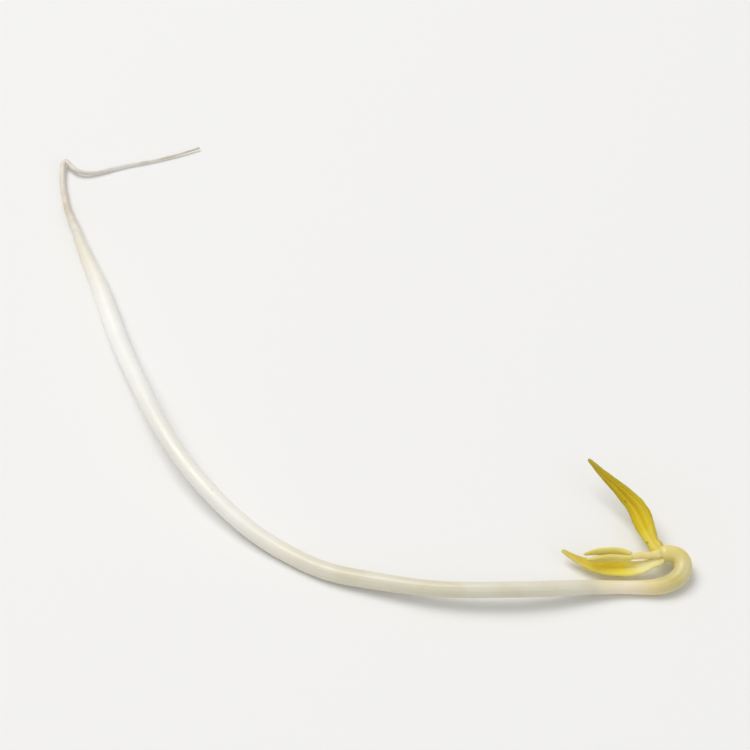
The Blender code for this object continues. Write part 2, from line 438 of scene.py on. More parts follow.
class Effects:
    """The surface effects that several finishes share, each a node group built once.

    Each takes a place on the surface and puts out values from 0 to 1.
    """

    FINE = 2.7  # scale of the fine fibres, where the coarse ones have 1
    FINE_SHARE = 0.4  # of the fine fibres in the whole
    FIBRE_RANGE = (0.38, 0.62)  # where a strand starts to show, and shows in full
    BLOTCH_SOFTNESS = 0.16  # to either side of a blotch's outline
    RAGGED_SCALE = 4200.0  # of the speck's ragged edge, per metre
    RAGGEDNESS = 0.5  # mm
    BARE = 0.62  # share of the cells that have no speck
    SPECK_HARDNESS = 12.0

    def __init__(self) -> None:
        """Builds the groups."""
        self.fibres = self._fibres()
        self.mottle = self._mottle()
        self.specks = self._specks()

    @staticmethod
    def _start(name: str, place: str, sizes: tuple[str, ...], results: tuple[str, ...]) -> Graph:
        """Starts a group, which is given a place and some sizes and puts out numbers."""
        inputs = {place: SocketKind.VECTOR} | dict.fromkeys(sizes, SocketKind.NUMBER)
        return new_tree(TreeKind.SHADER, name, inputs, dict.fromkeys(results, SocketKind.NUMBER))

    def _fibres(self) -> bpy.types.NodeTree:
        """Builds fine strands that run along a stalk or leaf, from its skin coordinates.

        Returns:
            The group: the strands as a mask, and as a height.
        """
        graph = self._start("Fibres", "Skin", ("Strands", "Stretch"), ("Strand", "Height"))
        given = graph.given
        stretched = graph.vector(
            "MULTIPLY", given["Skin"], graph.join(given["Strands"], given["Strands"], given["Stretch"])
        )
        coarse = graph.math("MULTIPLY", graph.cloud(stretched, 1.0, 2.0, 0.55), 1 - self.FINE_SHARE)
        fine = graph.math("MULTIPLY", graph.cloud(stretched, self.FINE, 3.0, 0.6), self.FINE_SHARE)
        both = graph.math("ADD", coarse, fine)
        return graph.put_out({"Strand": graph.span(both, *self.FIBRE_RANGE), "Height": both})

    def _mottle(self) -> bpy.types.NodeTree:
        """Builds soft blotches over a surface.

        Returns:
            The group. Size is in mm, and Cover is roughly the share of the surface that they take.
        """
        graph = self._start("Mottle", "Place", ("Size", "Cover"), ("Blotch",))
        given = graph.given
        cloud = graph.cloud(given["Place"], graph.math("DIVIDE", 1 / MM, given["Size"]), 2.0, 0.4)
        above = graph.math("SUBTRACT", cloud, graph.math("SUBTRACT", 1.0, given["Cover"]))
        return graph.put_out({"Blotch": graph.span(above, -self.BLOTCH_SOFTNESS, self.BLOTCH_SOFTNESS)})

    def _specks(self) -> bpy.types.NodeTree:
        """Builds small scattered specks, such as bruises and pores, with ragged edges.

        Returns:
            The group. Spacing is in mm, and Width is a share of it.
        """
        graph = self._start("Specks", "Place", ("Spacing", "Width"), ("Speck",))
        given = graph.given
        ragged = graph.cloud(given["Place"], self.RAGGED_SCALE, 2.0).outputs["Color"]
        uneven = graph.vector("ADD", given["Place"], graph.scaled(ragged, self.RAGGEDNESS * MM))
        scale = graph.math("DIVIDE", 1 / MM, given["Spacing"])
        cells = graph.add("ShaderNodeTexVoronoi", {"Vector": uneven, "Scale": scale, "Randomness": 1.0})
        chance = graph.add("ShaderNodeSeparateColor", {"Color": cells.outputs["Color"]})
        chosen = graph.math("GREATER_THAN", chance, self.BARE)
        edge = graph.math("SUBTRACT", given["Width"], cells.outputs["Distance"])
        spot = graph.math("MULTIPLY", edge, self.SPECK_HARDNESS, clamp=True)
        return graph.put_out({"Speck": graph.math("MULTIPLY", spot, chosen)})


# ---- finishes


@dataclass(frozen=True, kw_only=True)
class Flesh:
    """How light passes through and off a kind of tissue, all of it the same over the surface."""

    glow: float  # share of the light that passes through
    glow_depth: float = 0.0012  # how deep it goes, in metres
    glow_radius: Colour = (1.0, 0.85, 0.55)  # share of that depth for red, green and blue
    gloss: float  # weight of the wet coat
    gloss_roughness: float
    shine: float = 0.5  # specular level under the coat


@dataclass(frozen=True)
class Tone:
    """A colour laid over a skin where a mask shows, and how strongly."""

    colour: Colour
    share: float


# Scales are per metre.
DRIFT_SCALE = 300.0
DRIFT = 0.05  # of the run of colours, as a share of the piece's length
SHINE_SCALE = 900.0
SHINE_RANGE = (0.3, 0.7)  # values of the noise that give the least and most roughness
PORE_SCALE = 5200.0
PORE_HEIGHT = 0.25  # where the strands have 1
BUMP_STRENGTH = 0.6
MARGIN = (0.55, 0.98)  # place across a leaf where its margin starts to show, and shows in full


@dataclass(frozen=True, kw_only=True)
class SkinFinish:
    """A tissue whose colour runs along it, with strands, blotches and specks."""

    name: str
    run: Run
    blotch: Tone
    strand: Tone
    speck: Tone
    edge: Tone | None = None  # the margins of a leaf
    roughness: tuple[float, float]  # the least and the most
    relief: float  # height of the strands in metres
    flesh: Flesh
    strands: float = 4.0  # how close the strands are round or across the piece
    stretch: float = 6.0  # how close they are along it
    blotch_size: float = 3.0  # mm
    blotch_cover: float = 0.5  # rough share of the surface
    speck_spacing: float = 2.2  # mm
    speck_width: float = 0.12  # where the spacing has 1

    def make(self, effects: Effects) -> bpy.types.Material:
        """Builds the material.

        Args:
            effects: the shared node groups.

        Returns:
            The material, which reads the attribute "skin": two coordinates round or across the
            piece, and the share of the way along it.
        """
        material = bpy.data.materials.new(self.name)
        material.use_nodes = True
        graph = Graph(material.node_tree)
        skin = graph.add("ShaderNodeAttribute", attribute_name="skin").outputs["Vector"]
        place = graph.add("ShaderNodeTexCoord").outputs["Object"]
        given = {"Skin": skin, "Strands": self.strands, "Stretch": self.stretch}
        strands = graph.add("ShaderNodeGroup", given, node_tree=effects.fibres)
        colour = self._colour(graph, effects, skin, place, strands.outputs["Strand"])
        roughness = graph.span(graph.cloud(place, SHINE_SCALE, 3.0), *SHINE_RANGE, *self.roughness)
        pores = graph.math("MULTIPLY", graph.cloud(place, PORE_SCALE, 2.0), PORE_HEIGHT)
        height = graph.math("ADD", strands.outputs["Height"], pores)
        relief = {"Height": height, "Strength": BUMP_STRENGTH, "Distance": self.relief}
        bump = graph.add("ShaderNodeBump", relief)
        graph.fill(
            material.node_tree.nodes["Principled BSDF"],
            {
                "Base Color": colour,
                "Roughness": roughness,
                "Normal": bump,
                "Subsurface Weight": self.flesh.glow,
                "Subsurface Radius": self.flesh.glow_radius,
                "Subsurface Scale": self.flesh.glow_depth,
                "Coat Weight": self.flesh.gloss,
                "Coat Roughness": self.flesh.gloss_roughness,
                "Specular IOR Level": self.flesh.shine,
            },
        )
        return material

    def _colour(self, graph: Graph, effects: Effects, skin: Socket, place: Socket, strand: Socket) -> Socket:
        """Lays the blotches, margins, strands and specks over the run of colours.

        Args:
            graph: the material's graph.
            effects: the shared node groups.
            skin: the skin coordinates.
            place: the place on the piece.
            strand: the mask of the strands.

        Returns:
            The colour.
        """
        parts = graph.add("ShaderNodeSeparateXYZ", {0: skin})
        drift = graph.swing(graph.cloud(place, DRIFT_SCALE, 2.0), DRIFT)
        colour = ramp(graph, graph.math("ADD", parts.outputs[2], drift), self.run)
        given = {"Place": place, "Size": self.blotch_size, "Cover": self.blotch_cover}
        blotch = graph.add("ShaderNodeGroup", given, node_tree=effects.mottle)
        given = {"Place": place, "Spacing": self.speck_spacing, "Width": self.speck_width}
        speck = graph.add("ShaderNodeGroup", given, node_tree=effects.specks)
        tones = [(blotch, self.blotch)]
        if self.edge is not None:
            margin = graph.span(graph.math("ABSOLUTE", parts), *MARGIN)
            tones.append((margin, self.edge))
        tones += [(strand, self.strand), (speck, self.speck)]
        for mask, tone in tones:
            colour = graph.mix(graph.math("MULTIPLY", mask, tone.share), colour, tone.colour)
        return colour


# The skins' colours, each given for a stretch that can be told apart; where the stem lay in shade, that shade
# is painted into its colour.
MILK = (0.98, 0.98, 0.96)
CREAM = (0.96, 0.93, 0.86)
# painted shadow: a duller cream that stands for a shadow falling across the stem
PAINTED_SHADOW_CREAM = (0.86, 0.84, 0.76)
CREAM_TAN = (0.80, 0.72, 0.56)
# painted shade: a beige-grey that stands for the shade over the stem's lower stretch
PAINTED_SHADE_BEIGE = (0.72, 0.67, 0.50)
ASH = (0.85, 0.82, 0.76)
TAN = (0.60, 0.50, 0.30)
BLUSH = (0.95, 0.78, 0.46)
STRAW = (0.84, 0.70, 0.20)
PALE_YELLOW = (0.96, 0.86, 0.46)
YELLOW = (0.97, 0.80, 0.05)
GOLD = (0.74, 0.62, 0.02)
OCHRE = (0.50, 0.37, 0.00)
BROWN = (0.36, 0.27, 0.02)
OLIVE = (0.60, 0.49, 0.10)

STEM_FINISH = SkinFinish(
    name="Stem skin",
    run=(
        (0.00, CREAM_TAN),
        (0.10, CREAM),
        (0.20, MILK),
        # painted shadow: the stem is dulled here where a shadow fell across it
        (0.35, PAINTED_SHADOW_CREAM),
        (0.47, CREAM),
        # painted shade: from here to the neck the stem is beige-grey because it lay in shade
        (0.60, PAINTED_SHADE_BEIGE),
        (0.85, PAINTED_SHADE_BEIGE),
        (0.90, BLUSH),
        (0.95, OLIVE),
        (1.00, STRAW),
    ),
    blotch=Tone((0.84, 0.84, 0.76), 0.35),
    strand=Tone((0.96, 0.93, 0.84), 0.13),
    speck=Tone((0.62, 0.46, 0.24), 0.60),
    roughness=(0.31, 0.46),
    relief=0.00007,
    flesh=Flesh(glow=0.12, glow_depth=0.0006, gloss=0.24, gloss_roughness=0.17),
    speck_spacing=1.4,
)
ROOT_FINISH = SkinFinish(
    name="Root skin",
    run=((0.00, TAN), (0.20, ASH), (0.45, ASH), (0.80, CREAM_TAN), (1.00, ASH)),
    blotch=Tone((0.42, 0.34, 0.24), 0.40),
    strand=Tone((0.80, 0.76, 0.68), 0.40),
    speck=Tone((0.30, 0.21, 0.13), 0.45),
    roughness=(0.35, 0.60),
    relief=0.00005,
    flesh=Flesh(glow=0.0, gloss=0.15, gloss_roughness=0.2),
    strands=3.0,
    stretch=18.0,
    blotch_size=2.0,
    speck_spacing=1.2,
)
UPPER_FINISH = SkinFinish(
    name="Seed leaf ochre",
    run=((0.00, STRAW), (0.25, GOLD), (0.55, OCHRE), (1.00, BROWN)),
    blotch=Tone((0.66, 0.40, 0.00), 0.40),
    strand=Tone((0.80, 0.68, 0.06), 0.25),
    speck=Tone((0.26, 0.16, 0.00), 0.75),
    roughness=(0.36, 0.55),
    relief=0.00005,
    flesh=Flesh(
        glow=0.35, glow_depth=0.0008, glow_radius=(1.0, 0.7, 0.1),
        gloss=0.04, gloss_roughness=0.3, shine=0.16,
    ),
    strands=5.0,
    stretch=2.5,
    blotch_size=2.4,
    edge=Tone((0.36, 0.32, 0.00), 0.60),
)
LOWER_FINISH = SkinFinish(
    name="Seed leaf yellow",
    run=(
        (0.00, PALE_YELLOW),
        (0.22, PALE_YELLOW),
        (0.40, YELLOW),
        (0.62, YELLOW),
        (0.80, OLIVE),
        (1.00, OLIVE),
    ),
    blotch=Tone((0.74, 0.48, 0.00), 0.40),
    strand=Tone((0.86, 0.76, 0.20), 0.25),
    speck=Tone((0.36, 0.24, 0.01), 0.60),
    roughness=(0.34, 0.52),
    relief=0.00005,
    flesh=Flesh(
        glow=0.4, glow_depth=0.0009, glow_radius=(1.0, 0.75, 0.12),
        gloss=0.05, gloss_roughness=0.28, shine=0.18,
    ),
    strands=5.0,
    stretch=2.5,
    blotch_size=2.6,
    edge=Tone((0.70, 0.66, 0.24), 0.55),
)
SHOOT_FINISH = SkinFinish(
    name="Shoot skin",
    run=((0.00, STRAW), (1.00, STRAW)),
    blotch=Tone((0.80, 0.62, 0.40), 0.35),
    strand=Tone((0.88, 0.82, 0.52), 0.35),
    speck=Tone((0.52, 0.40, 0.14), 0.25),
    roughness=(0.32, 0.46),
    relief=0.00003,
    flesh=Flesh(glow=0.5, glow_depth=0.0009, gloss=0.18, gloss_roughness=0.20, shine=0.4),
    blotch_size=1.2,
)
LEAF_FINISH = SkinFinish(
    name="First leaf",
    run=((0.00, STRAW), (1.00, OLIVE)),
    blotch=Tone((0.72, 0.62, 0.12), 0.40),
    strand=Tone((0.85, 0.77, 0.34), 0.30),
    speck=Tone((0.42, 0.37, 0.06), 0.25),
    roughness=(0.40, 0.60),
    relief=0.00003,
    flesh=Flesh(
        glow=0.4, glow_depth=0.0006, glow_radius=(0.9, 1.0, 0.25),
        gloss=0.04, gloss_roughness=0.3, shine=0.2,
    ),
    strands=6.0,
    stretch=3.0,
    blotch_size=1.0,
    edge=Tone((0.80, 0.72, 0.30), 0.50),
)


# ---- geometry trees


@dataclass(frozen=True, kw_only=True)
class Relief:
    """The low forms of a stalk's skin, whose depths are shares of the stalk's radius."""

    ridges: float  # lengthwise ridges round it
    ridge_depth: float
    ridge_turn: float  # how far they wind from end to end, in radians of their own wave
    lump_depth: float
    lumps_along: float  # how close the soft lumps are, from end to end
    ring_depth: float
    rings_along: float  # how close the fine rings are
    plain_start: float = 0.0  # share of the length over which all of it fades in
    plain_end: float = 0.0  # share of the length over which it fades out


@dataclass(frozen=True, kw_only=True)
class Fringe:
    """Fine hairs on a stretch of a piece, in metres."""

    density: float  # hairs on each square metre
    hair_length: float  # of the longest
    hair_radius: float  # at their bases
    start: float  # share of the way along the piece
    end: float
    lean: float  # where HAIR_LEAN has 1
    seed: int  # start of what is random


def label(name: str) -> str:
    """The name of the socket that goes with a field."""
    return name.replace("_", " ").title()


def values_of(sizes: Relief | Fringe) -> dict[str, float]:
    """The value of each field, by the name of its socket."""
    return {label(field.name): getattr(sizes, field.name) for field in fields(sizes)}


def geometry_tree(name: str, sizes: type, **more: SocketKind) -> Graph:
    """Starts a geometry tree, which is told the frame's box and a material beside its own sizes.

    Args:
        name: the tree's name.
        sizes: the dataclass whose fields it is given.
        more: the kinds of other sizes that it is given.

    Returns:
        The tree's graph.
    """
    inputs = {"Geometry": SocketKind.GEOMETRY} | more
    for field in fields(sizes):
        inputs[label(field.name)] = SocketKind.COUNT if field.type is int else SocketKind.NUMBER
    inputs |= dict.fromkeys(("Low Corner", "High Corner"), SocketKind.VECTOR)
    inputs["Material"] = SocketKind.MATERIAL
    return new_tree(TreeKind.GEOMETRY, name, inputs, {"Geometry": SocketKind.GEOMETRY})


def finish_tree(graph: Graph, geometry: object) -> bpy.types.NodeTree:
    """Ends a tree: its result is kept within the frame's box, made real and smooth, and dressed.

    Args:
        graph: the tree's graph.
        geometry: its result.

    Returns:
        The tree.
    """
    real = graph.add("GeometryNodeRealizeInstances", {"Geometry": geometry})
    here = graph.add("GeometryNodeInputPosition")
    below = graph.vector("MINIMUM", here, graph.given["High Corner"])
    held = graph.vector("MAXIMUM", below, graph.given["Low Corner"])
    moved = graph.add("GeometryNodeSetPosition", {"Geometry": real, "Position": held})
    smooth = graph.add("GeometryNodeSetShadeSmooth", {"Geometry": moved})
    dressed = {"Geometry": smooth, "Material": graph.given["Material"]}
    return graph.put_out({"Geometry": graph.add("GeometryNodeSetMaterial", dressed)})


LEAST_PLAIN = 1e-4  # stands in for a plain stretch of no length
PLAIN_SHARE = 0.3  # of a plain stretch that has no relief at all
LUMPS_ROUND = 0.6  # how close the lumps are round the stalk
RINGS_ROUND = 0.9


def angle_round(graph: Graph) -> Socket:
    """The angle round the stalk, from its stored "turn"."""
    return graph.math("MULTIPLY", graph.named("turn"), 2 * math.pi)


def swept_tube(graph: Graph) -> tuple[Socket, Socket]:
    """Adds a round tube along the curve, with "along", "thick", "turn" and "skin" stored on it.

    Args:
        graph: the stalk tree's graph.

    Returns:
        The tube, and the value of "skin".
    """
    given = graph.given
    curve = {"Curve": given["Geometry"], "Length": given["Step"]}
    even = graph.add("GeometryNodeResampleCurve", curve, mode="LENGTH")
    upright = graph.add("GeometryNodeSetCurveNormal", {"Curve": even}, mode="Z_UP")
    marked = graph.store(upright, "along", graph.add("GeometryNodeSplineParameter"))
    thick = graph.add("GeometryNodeInputRadius")
    measured = graph.store(marked, "thick", thick)
    round_it = {"Resolution": given["Sides"], "Radius": 1.0}
    circle = graph.add("GeometryNodeCurvePrimitiveCircle", round_it)
    turned = graph.store(circle, "turn", graph.add("GeometryNodeSplineParameter"))
    sweep = {"Curve": measured, "Profile Curve": turned, "Scale": thick, "Fill Caps": True}
    tube = graph.add("GeometryNodeCurveToMesh", sweep)
    angle = angle_round(graph)
    skin = graph.join(graph.math("COSINE", angle), graph.math("SINE", angle), graph.named("along"))
    return graph.store(tube, "skin", skin, "FLOAT_VECTOR").outputs[0], skin


def relief_height(graph: Graph, skin: Socket) -> Socket:
    """Adds the height of ridges, lumps and rings, which fades out at the plain ends.

    Args:
        graph: the stalk tree's graph.
        skin: the skin coordinates.

    Returns:
        The height as a share of the radius.
    """
    given = graph.given
    along = graph.named("along")

    def noisy(closeness: float, count: str, detail: float, depth: str) -> Socket:
        """Adds noise over the skin.

        Args:
            closeness: how close it is round the stalk.
            count: name of the input that says how close it is along the stalk.
            detail: how many finer layers it has.
            depth: name of the input that it is swung by.

        Returns:
            Its height.
        """
        place = graph.vector("MULTIPLY", skin, graph.join(closeness, closeness, given[count]))
        inputs = {"Vector": place, "W": given["Seed"], "Scale": 1.0, "Detail": detail}
        cloud = graph.add("ShaderNodeTexNoise", inputs, noise_dimensions="4D")
        return graph.swing(cloud, given[depth])

    def fade(share: object, plain: str) -> Socket:
        """0 at an end that is a share of the length away, and 1 past its plain stretch."""
        reach = graph.math("MAXIMUM", given[plain], LEAST_PLAIN)
        return graph.span(graph.math("DIVIDE", share, reach), PLAIN_SHARE, 1.0)

    wave = graph.math("MULTIPLY", angle_round(graph), given["Ridges"])
    turning = graph.math("MULTIPLY_ADD", along, given["Ridge Turn"], wave)
    ridge = graph.math("MULTIPLY", graph.math("COSINE", turning), given["Ridge Depth"])
    lumps = noisy(LUMPS_ROUND, "Lumps Along", 2.0, "Lump Depth")
    rings = noisy(RINGS_ROUND, "Rings Along", 3.0, "Ring Depth")
    height = graph.math("ADD", graph.math("ADD", ridge, lumps), rings)
    start = fade(along, "Plain Start")
    end = fade(graph.math("SUBTRACT", 1.0, along), "Plain End")
    return graph.math("MULTIPLY", height, graph.math("MULTIPLY", start, end))


def stalk_tree() -> bpy.types.NodeTree:
    """Builds the tree of a round stalk swept along a curve, with the forms of its Relief.

    It stores the attribute "skin": cosine and sine of the place round the stalk, and the share of
    the way along it.

    Returns:
        The tree.
    """
    number = SocketKind.NUMBER
    graph = geometry_tree("Stalk", Relief, Sides=SocketKind.COUNT, Step=number, Seed=number)
    tube, skin = swept_tube(graph)
    raised = graph.math("MULTIPLY", relief_height(graph, skin), graph.named("thick"))
    offset = graph.scaled(graph.add("GeometryNodeInputNormal"), raised)
    bare = graph.add("GeometryNodeSetPosition", {"Geometry": tube, "Offset": offset})
    for name in ("along", "turn", "thick"):
        bare = graph.add("GeometryNodeRemoveAttribute", {"Geometry": bare, "Name": name})
    return finish_tree(graph, bare)


HAIR_SIDES = 3
HAIR_SEGMENTS = 3  # along it
HAIR_LEAN = (1.0, 1.0, 3.1416)  # radians to either side, before the tree's Lean scales it
SHORTEST_HAIR = 0.45  # where the longest has 1


def hair_tree() -> bpy.types.NodeTree:
    """Builds the tree of fine tapering hairs on a stretch of a surface, at seeded places.

    Returns:
        The tree.
    """
    graph = geometry_tree("Hairs", Fringe)
    given = graph.given
    seed = given["Seed"]
    along = graph.add("ShaderNodeSeparateXYZ", {0: graph.named("skin", "FLOAT_VECTOR")}).outputs[2]
    after = graph.math("GREATER_THAN", along, given["Start"])
    before = graph.math("LESS_THAN", along, given["End"])
    density = graph.math("MULTIPLY", graph.math("MULTIPLY", after, before), given["Density"])
    scatter = {"Mesh": given["Geometry"], "Density": density, "Seed": seed}
    points = graph.add("GeometryNodeDistributePointsOnFaces", scatter, distribute_method="RANDOM")
    hair = {
        "Vertices": HAIR_SIDES,
        "Side Segments": HAIR_SEGMENTS,
        "Radius Top": 0.0,
        "Radius Bottom": given["Hair Radius"],
        "Depth": given["Hair Length"],
    }
    cone = graph.add("GeometryNodeMeshCone", hair, fill_type="NGON")
    lean = {0: tuple(-turn for turn in HAIR_LEAN), 1: HAIR_LEAN, "Seed": seed}
    tilt = graph.add("FunctionNodeRandomValue", lean, data_type="FLOAT_VECTOR")
    leaning = graph.add("FunctionNodeEulerToRotation", {0: graph.scaled(tilt, given["Lean"])})
    standing = {0: points.outputs["Rotation"], 1: leaning}
    turned = graph.add("FunctionNodeRotateRotation", standing, rotation_space="LOCAL")
    size = graph.add("FunctionNodeRandomValue", {2: SHORTEST_HAIR, 3: 1.0, "Seed": seed}, data_type="FLOAT")
    copies = {"Points": points, "Instance": cone, "Rotation": turned, "Scale": size.outputs[1]}
    return finish_tree(graph, graph.add("GeometryNodeInstanceOnPoints", copies))


def put(name: str, data: bpy.types.ID) -> Piece:
    """Makes an object of a mesh, curve, light or camera, and puts it in the scene.

    Args:
        name: the object's name.
        data: what it shows.

    Returns:
        The object.
    """
    thing = bpy.data.objects.new(name, data)
    bpy.context.scene.collection.objects.link(thing)
    return thing


def run_tree(source: Piece, tree: bpy.types.NodeTree, values: dict, name: str) -> Piece:
    """Runs a geometry tree on an object and keeps the result as a plain mesh object.

    Args:
        source: the curve or mesh that the tree reads; it is removed afterwards if it is a curve.
        tree: the geometry tree.
        values: a value for each named input.
        name: name of the new object.

    Returns:
        The new object, with no modifier on it.
    """
    modifier = source.modifiers.new(tree.name, "NODES")
    modifier.node_group = tree
    for item in tree.interface.items_tree:
        if item.item_type == "SOCKET" and item.in_out == "INPUT" and item.name in values:
            modifier[item.identifier] = values[item.name]
    bpy.context.view_layer.update()
    graph = bpy.context.evaluated_depsgraph_get()
    mesh = bpy.data.meshes.new_from_object(source.evaluated_get(graph))
    mesh.name = name
    source.modifiers.remove(modifier)
    if source.type == "CURVE":
        bpy.data.objects.remove(source)
    return put(name, mesh)


# ---- pieces


@dataclass(kw_only=True)
class Growth:
    """A grown piece that follows a path, with lengths in mm along it."""

    name: str
    path: Path
    start: float = 0.0
    end: float | None = None  # the path's own end, if there is none
    round_start: float = 0.3  # over which the start closes in
    round_end: float = 0.3  # over which the end closes in
    closed: float = 0.002  # square of the share of the width that is left at an end
    slim: float = 0.96  # share of the path's radius that it has
    flare: float = 0.0  # how much wider it is at its base, as a share
    flare_at: float = 0.0  # where the flare starts to fade
    flare_reach: float = 0.4  # over which it fades
    seed: float = 1.0  # start of its noise

    @property
    def stop(self) -> float:
        """Where it ends along its path."""
        return self.path.length if self.end is None else self.end

    def half_width(self, along: float) -> float:
        """Works out half the width, with a flared base and ends that close in as quarter circles.

        Args:
            along: mm along the path.

        Returns:
            Half the width in mm.
        """
        half = self.path.radius(along) * self.slim
        for gap, reach in ((along - self.start, self.round_start), (self.stop - along, self.round_end)):
            if reach > 0 and gap < reach:
                half *= math.sqrt(max(1 - (1 - gap / reach) ** 2, self.closed))
        return half * (1 + self.flare * groove(max(along, self.flare_at), self.flare_at, self.flare_reach))


def groove(place: float, middle: float, width: float) -> float:
    """How much of a rounded furrow, from 0 to 1, there is at a distance from its middle."""
    return math.exp(-(((place - middle) / width) ** 2))


@dataclass(kw_only=True)
class Stalk(Growth):
    """A stretch of stem, root or shoot, swept by the stalk tree."""

    relief: Relief
    sides: int = 48  # points round it
    step: float  # between rings
    closed: float = 0.01
    slim: float = 0.97

    END_RINGS = 9  # extra ones at each end

    def _places(self) -> np.ndarray:
        """Spaces out the curve's points, closer together at the ends.

        Returns:
            Their distances along the path.
        """
        even = np.arange(self.start, self.stop, self.step)
        closer = np.linspace(0, 1, self.END_RINGS) ** 2
        starts = self.start + self.round_start * closer
        ends = self.stop - self.round_end * closer
        return np.unique(np.round(np.concatenate((even, starts, ends, [self.start, self.stop])), 4))

    def make(self, grid: Grid, tree: bpy.types.NodeTree, material: bpy.types.Material) -> Piece:
        """Makes the piece.

        Args:
            grid: the lying-out grid.
            tree: the stalk tree.
            material: its material.

        Returns:
            A plain mesh object.
        """
        curve = bpy.data.curves.new(self.name, "CURVE")
        curve.dimensions = "3D"
        spline = curve.splines.new("POLY")
        places = self._places()
        spline.points.add(len(places) - 1)
        for point, along in zip(spline.points, places):
            point.co = (*grid.place(self.path.at(along)), 1.0)
            point.radius = self.half_width(along) * MM
        values = {"Sides": self.sides, "Step": self.step * MM, "Seed": self.seed}
        values |= values_of(self.relief) | grid.inputs(material)
        return run_tree(put(self.name + "_axis", curve), tree, values, self.name)


def signed_volume(mesh: bpy.types.Mesh) -> float:
    """Adds up the volume inside a closed mesh.

    Args:
        mesh: the mesh.

    Returns:
        The volume, negative if the faces point inwards.
    """
    mesh.calc_loop_triangles()
    corners = np.array([[mesh.vertices[v].co for v in triangle.vertices] for triangle in mesh.loop_triangles])
    return float(np.einsum("ij,ij->i", corners[:, 0], np.cross(corners[:, 1], corners[:, 2])).sum() / 6)


def with_ends(rings: np.ndarray) -> np.ndarray:
    """All the points of some rings, and after them the middles of the first ring and the last."""
    return np.concatenate((rings.reshape(-1, 3), rings[[0, -1]].mean(axis=1)))


def mesh_from_rings(name: str, rings: np.ndarray, skin: np.ndarray, material: bpy.types.Material) -> Piece:
    """Makes a closed mesh through rings of points, with a point that closes each end.

    Args:
        name: the object's name.
        rings: places in metres, by ring and by place round it.
        skin: the "skin" attribute of each of them.
        material: its material.

    Returns:
        The new object.
    """
    count, sides = rings.shape[:2]
    first, last = count * sides, count * sides + 1
    end = (count - 1) * sides
    around = [(k, (k + 1) % sides) for k in range(sides)]
    faces = []
    for i in range(0, end, sides):
        faces += [(i + k, i + after, i + sides + after, i + sides + k) for k, after in around]
    for k, after in around:
        faces += [(first, after, k), (last, end + k, end + after)]
    mesh = bpy.data.meshes.new(name)
    mesh.from_pydata(with_ends(rings).tolist(), [], faces)
    marks = mesh.attributes.new("skin", "FLOAT_VECTOR", "POINT").data
    marks.foreach_set("vector", with_ends(skin).astype(np.float32).ravel())
    mesh.materials.append(material)
    mesh.shade_smooth()
    if signed_volume(mesh) < 0:
        mesh.flip_normals()
    mesh.update()
    return put(name, mesh)


class Side(Enum):
    """Which face of a blade a point lies on, as its place in the skin coordinates."""

    OUTER = -0.5
    INNER = 0.5


@dataclass(kw_only=True)
class Blade(Growth):
    """A leaf built ring by ring along its midrib, whose radius is half the leaf's width.

    Depths and bulges are shares of the half width.
    """

    face: Place  # the way its inner face looks
    twist: float  # degrees that it turns from base to tip
    outer: float  # bulge of the rounded side
    inner: float  # bulge of the flatter side
    rings: int = 150
    sides: int = 72  # points round each ring
    wave: float = 0.05  # unevenness of its margins

    WAVES = 9.0  # how close that unevenness is, from base to tip
    CROWDING = 0.25  # how much closer together the rings are at the ends

    def _frame(self, along: float) -> tuple[np.ndarray, np.ndarray]:
        """Works out which way the blade faces.

        Args:
            along: mm along the midrib.

        Returns:
            Unit vectors across the blade and out of its inner face.
        """
        heading = self.path.heading(along)
        across = heading.cross(Vector(self.face).normalized()).normalized()
        outward = across.cross(heading)
        turn = math.radians(self.twist) * along / self.path.length
        turned = across * math.cos(turn) + outward * math.sin(turn)
        lifted = outward * math.cos(turn) - across * math.sin(turn)
        return np.array(turned), np.array(lifted)

    def _section(self, share: float, half: float, angle: float) -> tuple[float, float]:
        """Works out one point of a ring, in the way of its own kind of leaf.

        Args:
            share: share of the way along the midrib.
            half: half the width there in mm.
            angle: the angle round the ring, from one margin.

        Returns:
            Mm across the blade, and mm out of its inner face.
        """
        raise NotImplementedError

    def _rough(self, place: Place, scales: Place, seed: float) -> float:
        """Noise at a place across, out of and along the leaf, and how close it is each way."""
        across, out, along = (value * scale for value, scale in zip(place, scales))
        return noise.noise((across, out + seed, along))

    def make(self, grid: Grid, material: bpy.types.Material) -> Piece:
        """Makes the blade.

        Args:
            grid: the lying-out grid.
            material: its material.

        Returns:
            A plain mesh object.
        """
        places = np.zeros((self.rings, self.sides, 3))
        skin = np.zeros((self.rings, self.sides, 3))
        for i in range(self.rings):
            even = i / (self.rings - 1)
            crowded = (1 - math.cos(math.pi * even)) / 2
            share = (1 - self.CROWDING) * even + self.CROWDING * crowded
            along = share * self.path.length
            across, outward = self._frame(along)
            centre = self.path.at(along)
            uneven = noise.noise((share * self.WAVES, self.seed, 3.1))
            half = self.half_width(along) * (1 + self.wave * uneven)
            for k in range(self.sides):
                angle = 2 * math.pi * k / self.sides
                x, z = self._section(share, half, angle)
                side = Side.INNER if math.sin(angle) > 0 else Side.OUTER
                places[i, k] = centre + across * x + outward * z
                skin[i, k] = (math.cos(angle), side.value, share)
        return mesh_from_rings(self.name, grid.place(places), skin, material)


@dataclass(frozen=True)
class Furrow:
    """A lengthwise furrow: its middle and width, as places across a leaf, and its depth."""

    middle: float
    width: float
    depth: float


